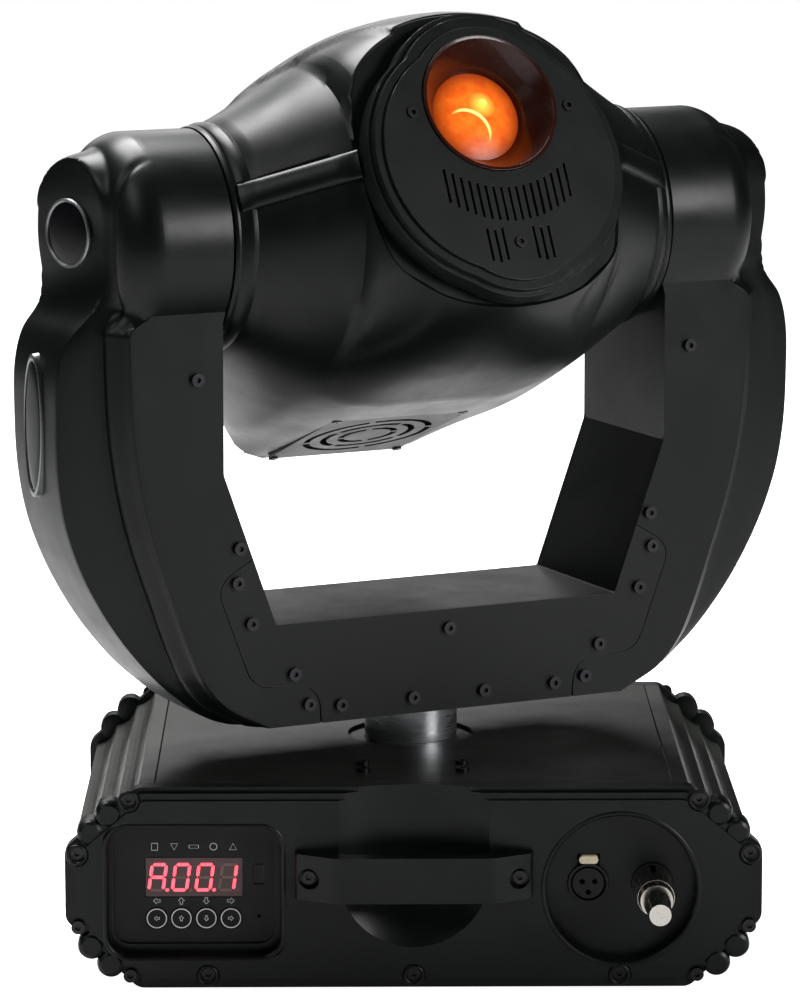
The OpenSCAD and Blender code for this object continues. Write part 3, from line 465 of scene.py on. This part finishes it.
def head_ring(x, steps=34):
    """Side section of the head at station x as (y, z) points, from the front seam over the top and round."""
    a = abs(x)
    front, rear, top, low = (float(along(t, a)) for t in (REACH_FRONT, REACH_REAR, REACH_TOP, REACH_LOW))
    crown, keel = 10 * (1 - a / HUB_X), float(along([(0, -18), (45, -18), (75, -10), (HUB_X, 0)], a))
    flat = float(along([(0, 1), (45, 1), (75, 0), (HUB_X, 0)], a))
    rear_up = max(1.5, float(along([(0, 62), (40, 58), (75, 35), (HUB_X, 0)], a)))
    rear_down = max(1.5, float(along([(0, 75), (45, 75), (75, 52), (HUB_X, 0)], a)))
    disc = sqrt(max(0, RING_R**2 - a * a))
    up, down = (max(1.5, disc + s * 5 * min(1, disc / 20)) for s in (-1, 1))
    q = np.linspace(0, pi / 2, steps)
    c, s, k = np.cos(q), np.sin(q), np.linspace(0, 1, steps)
    parts = [(-(crown + (front - crown) * c), up + (top - up) * s),
             (-(crown - (crown + rear) * s), rear_up + (top - rear_up) * c),
             (rear + (-keel - rear) * ((1 - flat) * (1 - c) + flat * k),
              -rear_down - (low - rear_down) * ((1 - flat) * s + flat * k)),
             (-(keel + (front - keel) * s), -down - (low - down) * c)]
    y, z = (np.concatenate([p[i] for p in parts]) for i in (0, 1))
    line = along(TOP_CREASE, -y)
    lift = 2.4 * smooth((line - a) / 3.5) * smooth((z - 35) / 20) * smooth((y + 104) / 6)
    chin = 26 + 56 * smooth((z + 100) / 60 + (y + 90) / 150)
    lift += 1.5 * smooth((chin - a) / 3.5) * smooth((-40 - z) / 20) * smooth((10 - y) / 60)
    lip = 1.5 * np.sin(pi * np.clip((a - 118) / 8, 0, 1)) - 1.2 * np.exp(-((a - 116.5) / 1.6) ** 2)
    r = np.maximum(np.hypot(y, z), 1)
    grow = 1 + (lift + lip) / r
    return [(x, u, v) for u, v in zip(y * grow, z * grow)]


def fan_box():
    """Room for the fan plate and what lies above it, from the plate's own corners in the head's axes."""
    back = HEAD.inverted()
    corners = [back @ v.co for v in frame["nodes"]["fan_grille"].data.vertices]
    tilt = Matrix.Rotation(radians(6.07), 4, "X")
    flat = [tilt.inverted() @ c for c in corners]
    low, high = (Vector(f(p[i] for p in flat) for i in range(3)) for f in (min, max))
    bm = bmesh.new()
    grown = rounded_box((high.x - low.x) / 2 + 0.4, (high.y - low.y) / 2 + 0.4, 3)
    middle = (low + high) / 2
    prism(bm, [(middle.x + x, middle.y + y) for x, y in grown], low.z - 12, high.z + 6, "z")
    bmesh.ops.transform(bm, matrix=tilt, verts=bm.verts)
    return bm


def head_shell(name, upper):
    """A shell of the head: the whole skin, cut at the seam, at the front opening and at the rear cover."""
    bm = bmesh.new()
    closer = HUB_X * (0.25 * np.sin(np.linspace(-pi / 2, pi / 2, 31)) + 0.75 * np.linspace(-1, 1, 31))
    stations = np.unique(np.concatenate([np.linspace(-HUB_X, HUB_X, 113), closer]).round(2))
    loft(bm, [head_ring(float(x)) for x in stations], ends=False)
    seam, outward = (UPPER_SEAM, -1) if upper else (LOWER_SEAM, 1)
    for at, normal in (((0, 0, seam), (0, 0, outward)), ((0, -SHELL_FRONT, 0), (0, -1, 0)),
                       ((0, SHELL_REAR, 0), (0, 1, 0))):
        everything = bm.verts[:] + bm.edges[:] + bm.faces[:]
        bmesh.ops.bisect_plane(bm, geom=everything, plane_co=at, plane_no=normal, clear_outer=True)
    return piece(name + "_skin", bm, HEAD, "head", coat_black, [name],
                 solid=SHELL_T)


head_shell("head_upper_shell", True)
lower = head_shell("head_lower_shell", False)
cut(lower, from_bmesh("cutter", fan_box(), HEAD))


STRIP_HALF, STRIP_Z = 7.6, -2


def side_strips():
    """Half-round strips over the seam between the shells, from each hub to the ring and to the rear cover."""
    bm = bmesh.new()
    for side in (1, -1):
        for ends in (((124.5, -60), (74, -101)), ((123.5, 61), (61, 149))):
            start, end = Vector(ends[0]), Vector(ends[1])
            rings = []
            for k in np.linspace(0, 1, 16):
                here = start.lerp(end, k)
                out = (end - start).orthogonal().normalized()
                if out.dot(here) < 0:
                    out.negate()
                swell = 3.2 if abs(2 * k - 1) < 0.8 else 1.6
                arc = [(sin(a) * STRIP_HALF, cos(a) * swell - 1.8) for a in np.linspace(-pi / 2, pi / 2, 13)]
                arc += [(STRIP_HALF, -5), (-STRIP_HALF, -5)]
                section = [(here + out * w, u) for u, w in arc]
                rings.append([(side * p.x, p.y, STRIP_Z + u) for p, u in section])
            loft(bm, rings)
    piece("seam_strips", bm, HEAD, "head", coat_black, ["side_rails"])


side_strips()


def front_collar():
    """Dark flange that fills the shells' front opening round the ring, cut to the shells' own outline."""
    bm = bmesh.new()
    loft(bm, [head_ring(float(x)) for x in np.linspace(-90, 90, 61)], ends=False)
    everything = bm.verts[:] + bm.edges[:] + bm.faces[:]
    made = bmesh.ops.bisect_plane(bm, geom=everything, plane_co=(0, COLLAR_Y, 0), plane_no=(0, -1, 0),
                                  clear_outer=True)
    rim = {v for e in made["geom_cut"] if isinstance(e, bmesh.types.BMEdge) for v in e.verts}
    outline = sorted(((v.co.x, v.co.z) for v in rim), key=lambda p: atan2(p[1] + 2, p[0]))
    bm.free()
    bm = bmesh.new()
    prism(bm, outline, COLLAR_Y, COLLAR_Y + 3.2)
    collar = piece("front_collar", bm, HEAD, "head", ring_black)
    for centre, radius in ((-2, 60.5), (OPTIC_Z, 40)):
        bm = bmesh.new()
        turned(bm, [(radius, -120), (radius, -60)], (0, 0, centre), count=96)
        cut(collar, from_bmesh("cutter", bm, HEAD))


def hub_collars():
    """Rings that close the ends of the head towards the arms."""
    bm = bmesh.new()
    for side in (-1, 1):
        ring = [(38, 123), (56.5, 123), (57.8, 124), (58, 126), (57.2, 127.6), (38, 127.8), (38, 123)]
        turned(bm, [(r, side * x) for r, x in ring], axis="x", count=96, ends=False)
    piece("hub_collars", bm, HEAD, "head", coat_black)


front_collar()
hub_collars()

# ---------- arm mouldings ----------

ARM_D, DRUM_R, BAR_Z, FOOT_H = 45.4, 56.7, 128.5, 22
# Distance out from the pan axis against height: the band's face, the flat side's edge, the band's lean and
# the inner edge
OUTER = [(128.5, 121), (131, 129), (146, 151.5), (170, 175), (203, 197), (235, 210.5), (262, 216),
         (296, 217.5), (326, 215.5), (339, 210.5), (351, 200.5), (361, 196.8), (389, 196.2), (410, 197),
         (441.2, 194)]
SIDE = [(128.5, 106), (140, 128), (154, 141), (170, 149), (200, 160), (226, 169), (253, 176), (281, 180.5),
        (309, 182.5), (442, 183)]
SLANT = [(210, 0), (278, 0.03), (316, 0.05), (332, 0.07), (341, 0.10), (352, 0.15), (362, 0.21), (390, 0.285),
         (441.2, 0.2)]
INNER = [(128.5, 75.6), (172, 75.6), (183.4, 100.8), (265.2, 130.3), (345, 130.3), (350, 128.8), (442, 128.8)]


def arm_face(y, z):
    """Outer face of an arm: a soft shoulder, or the rounded drum, with the raised band down the middle."""
    away = np.abs(y)
    edge, top = along(SIDE, z), along(OUTER, z)
    inward = ARM_D - away
    shoulder = edge - 1.5 + 1.8 * np.sqrt(np.clip(inward / 1.6, 0, 1)) + 8 * smooth((inward - 1) / 11)
    shoulder = np.minimum(shoulder, top - 1.5)
    radial = np.hypot(y, z - TILT_Z)
    drum = 165 + 21 * np.sqrt(np.clip(1 - (np.clip(radial - 35.5, 0, None) / 21.3) ** 2, 0, 1))
    drum -= 1.6 * np.exp(-((away - 34.5) / 1.8) ** 2)
    base = shoulder + (drum - shoulder) * smooth((z - 341) / 14)
    reach = np.where(z < 402, away, np.hypot(y, z - 402))
    band = smooth((31.6 - reach) / 5.2)
    lean = -along(SLANT, z) * y
    return base + band * (np.maximum(top + lean, base + 1) - base) - 0.5 * band * (reach / 26) ** 2


def arm_rings():
    """Level sections of the arm, foot to drum top, each from one inner edge round to the other."""
    t = np.sin(np.linspace(-pi / 2, pi / 2, 91))
    crease = TILT_Z - sqrt(DRUM_R**2 - ARM_D**2)
    turn = np.linspace(asin((crease - TILT_Z) / DRUM_R), radians(89.2), 84)
    levels = np.concatenate([BAR_Z + FOOT_H * np.linspace(0, 1, 18)[:-1] ** 1.4,
                             np.linspace(BAR_Z + FOOT_H, crease, 108)[:-1], TILT_Z + DRUM_R * np.sin(turn)])
    for z in levels:
        half = ARM_D if z <= crease else sqrt(DRUM_R**2 - (z - TILT_Z) ** 2)
        start = np.interp(z, *zip(*INNER))
        y = half * t
        x = arm_face(y, np.full_like(y, z))
        sides = [[(float(start + (end - start) * k), s * half, z) for k in (0, 0.25, 0.5, 0.75, 0.92)]
                 for s, end in ((-1, x[0]), (1, x[-1]))]
        yield sides[0] + [(float(a), float(b), z) for a, b in zip(x, y)] + sides[1][::-1]


def rounded_outline(corners):
    """Replaces each (x, z, radius) corner by an arc."""
    points = []
    for i, (x, z, r) in enumerate(corners):
        here = Vector((x, z))
        back = (Vector(corners[i - 1][:2]) - here).normalized()
        ahead = (Vector(corners[(i + 1) % len(corners)][:2]) - here).normalized()
        if r == 0:
            points.append((x, z))
            continue
        half = back.angle(ahead) / 2
        centre = here + (back + ahead).normalized() * (r / sin(half))
        first, last = here + back * (r / tan(half)) - centre, here + ahead * (r / tan(half)) - centre
        turn = first.angle_signed(last)
        for k in range(7):
            p = first.copy()
            p.rotate(Matrix.Rotation(-turn * k / 6, 2))
            points.append(tuple(centre + p))
    return points


def ear(g):
    """Outline of the bar plate's end and its ear, grown by g, as far as it lies over an arm."""
    return rounded_outline([(60, 127, 0), (75 + g, 127, 0.6), (76 + g, 149 + g, 13), (114 + g, 151 - g, 14),
                            (135 + g, 207, 12), (113.8 + g, 219.5 + g, 1), (100, 183.4, 0), (60, 183.4, 0)])


def arm(name, at):
    """One arm moulding, recessed where the bar plates lie over it."""
    bm = bmesh.new()
    loft(bm, list(arm_rings()), closed=False, ends=True)
    made = piece(name + "_skin", bm, at, "yoke", arm_black, [name], solid=2.5, crease=28)
    bm = bmesh.new()
    for side in (-1, 1):
        prism(bm, ear(0.4), side * (ARM_D + 1.2), side * (ARM_D - 2.3))
    cut(made, from_bmesh("cutter", bm, at))


arm("arm_cover_right", YOKE)
arm("arm_cover_left", YOKE_BACK)

# ---------- base front ----------

COVER_SCREWS = [(s * x, z) for s in (-1, 1) for x, z in ((147.5, 101), (174.4, 72.5), (174.4, 33), (147.5, 7),
                                                         (107, 7.8))] + [(0, 7.8)]
FRONT = -134.5
RIM_R, RIM_TUBE = 4.7, 0.9
LOBE_OUT, LOBE_APART = 2.2, 13.8
LOBE = [(4.8, 1.2), (6.4, 2.2), (7.2, 4), (7.4, 6.6), (7.4, 15.6), (6, 16)]
PANEL_CENTRE, SOCKET_CENTRE = (-113.9, 52.6), (107.4, 53.5)
BEAD_R, BEAD_IN = 1.7, 1.2


def corner_lobes():
    """Two round lobes between the screws of each cut corner of both covers, and rims round the screws."""
    lobes, rims = bmesh.new(), bmesh.new()
    for side in (-1, 1):
        for (x1, z1), (x2, z2), up in (((147.5, 101), (174.4, 72.5), 1), ((147.5, 7), (174.4, 33), -1)):
            middle = Vector(((x1 + x2) / 2, (z1 + z2) / 2))
            out = Vector((abs(z1 - z2), up * abs(x2 - x1))).normalized()
            on = Vector((-out.y, out.x))
            for k in (-0.5, 0.5):
                x, z = middle + out * LOBE_OUT + on * LOBE_APART * k
                for face in (1, -1):
                    turned(lobes, [(r, (FRONT + a) * face) for r, a in LOBE], (side * x, 0, z))
    for x, z in [p for p in COVER_SCREWS if p[1] not in (7, 33)]:
        for face in (1, -1) if z < 10 else (1,):
            ring = [(RIM_R + u, (FRONT - v) * face) for u, v in circle(RIM_TUBE, 12)]
            turned(rims, ring + ring[:1], (x, 0, z), ends=False)
    piece("corner_lobes", lobes, BASE, "base", coat_black)
    piece("screw_rims", rims, BASE, "base", coat_black)


corner_lobes()


def bead(bm, outline, y, r):
    """A round bead of radius r that follows a closed outline at depth y."""
    middle = sum((Vector(p) for p in outline), Vector((0, 0))) / len(outline)
    rings = []
    for a in np.linspace(0, 2 * pi, 13):
        grown = [Vector(p) + (Vector(p) - middle).normalized() * r * cos(a) for p in outline]
        rings.append([(p.x, y + r * sin(a), p.y) for p in grown])
    loft(bm, rings, ends=False)


def recess_rims():
    """Soft rolled edges round the control recess and the round socket recess."""
    bm = bmesh.new()
    bead(bm, rounded_box(46.4, 35.6, 12.5, PANEL_CENTRE, 10), FRONT + BEAD_IN, BEAD_R)
    bead(bm, circle(40.6, 72, SOCKET_CENTRE), FRONT + BEAD_IN, BEAD_R)
    piece("recess_rims", bm, BASE, "base", coat_black)


recess_rims()

# ---------- control panel ----------

DISPLAY_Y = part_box("display_module")[0].y * 1000
DISPLAY_X, DISPLAY_Z = -114.3, 57.3
PORT_CENTRE = (-80.65, 59)
DIGIT_H, DIGIT_W, STROKE, LEAN = 13.6, 7.4, 0.8, 0.14
DIGIT_PITCH, DOT_X, DOT_R = 12.2, 5.9, 0.9
# Each segment's place in half widths and half heights, and whether it stands upright
SEGMENTS = {"a": (0, 1, 0), "b": (1, 0.5, 1), "c": (1, -0.5, 1), "d": (0, -1, 0), "e": (-1, -0.5, 1),
            "f": (-1, 0.5, 1), "g": (0, 0, 0)}
SHOWN_DIGITS = ["abcefg", "abcdef", "abcdef", "bc"]
DOTS = [True, False, True, False]


def digits():
    """Four seven-segment digits with their points, lit and dark, and the service port's face beside them."""
    lit, dark = bmesh.new(), bmesh.new()
    y = DISPLAY_Y
    for i, (shown, dot) in enumerate(zip(SHOWN_DIGITS, DOTS)):
        x0 = DISPLAY_X + (i - 1.55) * DIGIT_PITCH

        def put(bm, outline):
            prism(bm, [(x0 + u + LEAN * v, DISPLAY_Z + v) for u, v in outline], y - 0.25, y + 0.1)

        for name, (across, up, upright) in SEGMENTS.items():
            half = (DIGIT_H / 4 if upright else DIGIT_W / 2) - 0.35
            end = half - STROKE
            bar = [(-half, 0), (-end, STROKE), (end, STROKE), (half, 0), (end, -STROKE), (-end, -STROKE)]
            if upright:
                bar = [(v, u) for u, v in bar]
            u0, v0 = across * DIGIT_W / 2, up * DIGIT_H / 2
            put(lit if name in shown else dark, [(u0 + u, v0 + v) for u, v in bar])
        put(lit if dot else dark, circle(DOT_R, 12, (DOT_X, -DIGIT_H / 2)))
    port = bmesh.new()
    prism(port, rounded_box(2.3, 5, 0.4, PORT_CENTRE), y - 0.2, y + 0.1)
    piece("service_port_face", port, BASE, "base", socket_black)
    piece("digits_lit", lit, BASE, "base", segment_on)
    piece("digits_dark", dark, BASE, "base", segment_off)


def line_loop(bm, outline, y, width=0.35):
    """A printed closed line: the band between an outline and the same outline drawn in by width."""
    middle = sum((Vector(p) for p in outline), Vector((0, 0))) / len(outline)
    inner = [Vector(p) + (middle - Vector(p)).normalized() * width for p in outline]
    corners = ((outline, -0.06), (inner, -0.06), (inner, 0), (outline, 0), (outline, -0.06))
    loft(bm, [[(p[0], y + lift, p[1]) for p in points] for points, lift in corners], ends=False)


def arrow(x, z, turn, size=1.9):
    shape = [(0, 1), (0.95, 0), (0.42, 0), (0.42, -1), (-0.42, -1), (-0.42, 0), (-0.95, 0)]
    c, s = cos(radians(turn)), sin(radians(turn))
    return [(x + size * (u * c - v * s), z + size * (u * s + v * c)) for u, v in shape]


def printing():
    """Plain white marks: a ring and an arrow on each key, arrows over the keys and a row of simple signs."""
    marks = bmesh.new()
    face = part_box("control_panel")[0].y * 1000
    keys = ["button_mode", "button_up", "button_down", "button_enter"]
    for name, turn in zip(keys, (90, 0, 180, 270)):
        low, high = (v * 1000 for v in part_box(name))
        x, z, r = (low.x + high.x) / 2, (low.z + high.z) / 2, (high.x - low.x) / 2
        line_loop(marks, arrow(x, z + r + 3.6, turn), face)
        ring = bmesh.new()
        line_loop(ring, circle(r - 0.3, 48, (x, z)), low.y, 0.55)
        line_loop(ring, arrow(x, z, turn, 1.5), low.y, 0.4)
        piece(name + "_print", ring, BASE, name, white_print)
    z = DISPLAY_Z + 16.4
    signs = [rounded_box(1.7, 2, 0.3), [(-2, 1.7), (2, 1.7), (0, -2)], rounded_box(2.6, 0.9, 0.3),
             circle(2, 20), [(-2, -1.8), (2, -1.8), (0, 1.9)]]
    for i, shape in enumerate(signs):
        line_loop(marks, [(DISPLAY_X + (i - 2) * 10.2 + u, z + v) for u, v in shape], face)
    piece("panel_print", marks, BASE, "base", white_print)


digits()
printing()

# ---------- badges ----------


def badges():
    """A blank round badge in a rim near the top of each arm, and a blank oval one lower down."""
    for side, at in (("right", YOKE), ("left", YOKE_BACK)):
        disc, rim = bmesh.new(), bmesh.new()
        turned(disc, [(0.5, 2.4), (8, 2.2), (13, 1.7), (16.6, 1)], axis="x")
        profile = [(16.2, -3), (16.2, 1.3), (16.8, 1.9), (17.6, 1.9), (18.2, 1.2), (18.2, -3)]
        turned(rim, profile, axis="x", ends=False)
        lean = at @ Matrix.Translation((196.4, 0, 390)) @ Matrix.Rotation(atan2(0.285, 1), 4, "Z")
        piece("round_badge_" + side, disc, lean, "yoke", badge_gloss)
        piece("round_rim_" + side, rim, lean, "yoke", badge_rim)
        disc, rim = bmesh.new(), bmesh.new()
        turned(disc, [(0.5, 1.3), (7, 1.2), (10, 0.9), (11.2, 0.3)], axis="x")
        turned(rim, [(11, -3), (11, 0.9), (11.5, 1.3), (12.1, 0.9), (12.3, -3)], axis="x", ends=False)
        lower = at @ Matrix.Translation((217.2, 0, 291)) @ Matrix.Diagonal((1, 1, 3.1, 1))
        piece("oval_badge_" + side, disc, lower, "yoke", badge_gloss, ["arm_badges"])
        piece("oval_rim_" + side, rim, lower, "yoke", badge_rim)


badges()

# ---------- stage, light and camera ----------


def softbox(name, place, aim, size, power, tint=(1, 1, 1)):
    light = bpy.data.lights.new(name, "AREA")
    light.shape = "RECTANGLE"
    light.size, light.size_y = size
    light.energy = power
    light.color = tint
    holder = bpy.data.objects.new(name, light)
    bpy.context.scene.collection.objects.link(holder)
    holder.location = place
    holder.rotation_euler = (Vector(aim) - Vector(place)).to_track_quat("-Z", "Y").to_euler()


def floor():
    """A plain pale floor under the feet."""
    low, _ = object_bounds()
    material, tree, shader, where = principled("paper", (0.82, 0.82, 0.82), 0.7)
    clouds = remap(tree, noise(tree, where, 3, 2), 0, 1)
    tone = blend_colour(tree, clouds, (0.80, 0.80, 0.80), (0.84, 0.84, 0.84))
    tree.links.new(tone, shader.inputs["Base Color"])
    shader.inputs["Emission Color"].default_value = (1, 1, 1, 1)
    seen = node(tree, "ShaderNodeLightPath")
    tree.links.new(seen.outputs["Is Camera Ray"], shader.inputs["Emission Strength"])
    bm = bmesh.new()
    bmesh.ops.create_grid(bm, x_segments=12, y_segments=12, size=6)
    made = from_bmesh("floor", bm, Matrix.Translation((0, 0, low[2] - 0.0005)))
    made.data.materials.append(material)
    made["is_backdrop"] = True


def world():
    """White behind the object, and a dim room in what it reflects."""
    made = bpy.data.worlds.new("studio")
    bpy.context.scene.world = made
    made.use_nodes = True
    tree = made.node_tree
    seen, lit = tree.nodes["Background"], node(tree, "ShaderNodeBackground")
    seen.inputs["Color"].default_value = (1, 1, 1, 1)
    lit.inputs["Color"].default_value = (0.5, 0.52, 0.55, 1)
    lit.inputs["Strength"].default_value = 0.05
    rays, mix = node(tree, "ShaderNodeLightPath"), node(tree, "ShaderNodeMixShader")
    tree.links.new(rays.outputs["Is Camera Ray"], mix.inputs[0])
    tree.links.new(lit.outputs[0], mix.inputs[1])
    tree.links.new(seen.outputs[0], mix.inputs[2])
    tree.links.new(mix.outputs[0], tree.nodes["World Output"].inputs["Surface"])


floor()
world()
softbox("upper_left", (-1.6, -1.2, 1.9), (0, 0, 0.3), (1.0, 1.0), 8)
softbox("front_right", (1.7, -1.3, 1.0), (0, 0, 0.25), (0.7, 0.8), 27)
softbox("overhead", (-0.5, 0.8, 2.1), (0, 0, 0.3), (1.4, 1.0), 85)
softbox("back", (-0.4, 1.9, 1.2), (0, 0, 0.3), (1.4, 0.9), 8)

camera = bpy.data.objects.new("camera", bpy.data.cameras.new("camera"))
camera.location = (-0.03352, -2.52163, 0.67821)
camera.rotation_euler = (radians(90 - 9.967), 0, radians(-0.63))
camera.data.lens = 170.93
camera.data.sensor_width = 36
camera.data.dof.use_dof = False
bpy.context.scene.collection.objects.link(camera)
bpy.context.scene.camera = camera
bpy.context.scene.view_settings.view_transform = "Standard"
